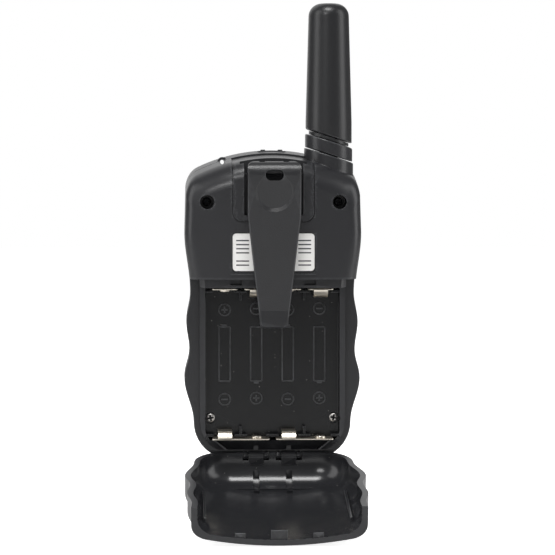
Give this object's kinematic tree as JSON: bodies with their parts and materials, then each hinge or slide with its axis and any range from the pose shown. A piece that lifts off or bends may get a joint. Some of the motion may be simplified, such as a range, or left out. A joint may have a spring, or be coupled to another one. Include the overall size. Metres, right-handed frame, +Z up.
{
  "type": "portable two-way radio",
  "caption": "Hand-held two-way radio with a fixed stub antenna, sliding belt clip, keypad, side talk button and a hinged door over an open cell compartment.",
  "frame": {"origin": "middle of the flat bottom of the case, on the front housing", "axes": "+Z up along the antenna, +Y out of the back where the clip and the battery door are, -Y out of the speaker and display face"},
  "size_m": [0.0611, 0.0785, 0.1792],
  "materials": {
    "shell": "satin moulded ABS, charcoal",
    "clip": "fine matte grain",
    "antenna": "soft satin sheath",
    "rubber": "matte",
    "key": "soft matte",
    "label": "satin printed film",
    "contact": "nickel plated spring strip",
    "steel": "zinc plated",
    "brass": "plain wire",
    "window": "smoked clear",
    "display": "grey-green glass",
    "board": "solder mask",
    "chip": "epoxy",
    "white_plastic": "reflector white",
    "cone": "coated paper",
    "magnet": "dark sintered",
    "lead_red": "insulation",
    "lead_black": "insulation"
  },
  "bodies": {
    "case": {"front_housing": "shell", "rear_housing": "shell", "antenna_sheath": "antenna", "antenna_core": "shell", "antenna_ring": "shell", "antenna_coil": "brass", "contact_positive": "contact", "contact_negative": "contact", "contact_bridge_top": "contact", "contact_bridge_low_left": "contact", "contact_bridge_low_right": "contact", "rating_label": "label", "screw_upper_left": "steel", "screw_upper_right": "steel", "screw_lower_left": "steel", "screw_lower_right": "steel", "screw_board_left": "steel", "screw_board_right": "steel", "lcd_window": "window", "lcd_panel": "display", "lcd_holder": "white_plastic", "keypad_mat": "rubber", "talk_switch": "chip", "speaker_cloth": "cone", "speaker_frame": "steel", "speaker_cone": "cone", "speaker_magnet": "magnet", "microphone": "steel", "headset_jack": "chip", "main_board": "board", "rf_shield": "contact", "radio_chip": "chip", "audio_chip": "chip", "crystal": "steel", "lead_positive": "lead_red", "lead_negative": "lead_black", "speaker_lead_left": "lead_red", "speaker_lead_right": "lead_black"},
    "door": {"battery_door": "shell"},
    "clip_base": {"clip_plate": "clip"},
    "clip_arm": {"clip_tongue": "clip"},
    "talk": {"talk_button": "key"},
    "menu": {"key_menu": "key"},
    "up": {"key_up": "key"},
    "down": {"key_down": "key"},
    "call": {"key_call": "key"},
    "monitor": {"key_monitor": "key"},
    "cover": {"jack_cover": "rubber"}
  },
  "joints": [
    {"name": "door_hinge", "type": "hinge", "parent": "case", "child": "door", "pos_m": [0, 0.0035, 0.0014], "axis": [1, 0, 0], "range_deg": [0, 100]},
    {"name": "clip_slide", "type": "slide", "parent": "case", "child": "clip_base", "axis": [0, 0, 1], "range_m": [0, 0.025]},
    {"name": "clip_flex", "type": "hinge", "parent": "clip_base", "child": "clip_arm", "pos_m": [0, 0.0178, 0.1029], "axis": [1, 0, 0], "range_deg": [0, 7], "stiffness_Nm_per_rad": 1.2},
    {"name": "talk_press", "type": "slide", "parent": "case", "child": "talk", "axis": [1, 0, 0], "range_m": [0, 0.0007], "stiffness_N_per_m": 1500},
    {"name": "menu_press", "type": "slide", "parent": "case", "child": "menu", "axis": [0, 1, 0], "range_m": [0, 0.0005], "stiffness_N_per_m": 1500},
    {"name": "up_press", "type": "slide", "parent": "case", "child": "up", "axis": [0, 1, 0], "range_m": [0, 0.0005], "stiffness_N_per_m": 1500},
    {"name": "down_press", "type": "slide", "parent": "case", "child": "down", "axis": [0, 1, 0], "range_m": [0, 0.0005], "stiffness_N_per_m": 1500},
    {"name": "call_press", "type": "slide", "parent": "case", "child": "call", "axis": [0, 1, 0], "range_m": [0, 0.0005], "stiffness_N_per_m": 1500},
    {"name": "monitor_press", "type": "slide", "parent": "case", "child": "monitor", "axis": [0, 1, 0], "range_m": [0, 0.0005], "stiffness_N_per_m": 1500},
    {"name": "cover_hinge", "type": "hinge", "parent": "case", "child": "cover", "pos_m": [0, -0.009, 0.1069], "axis": [1, 0, 0], "range_deg": [0, 100]}
  ]
}
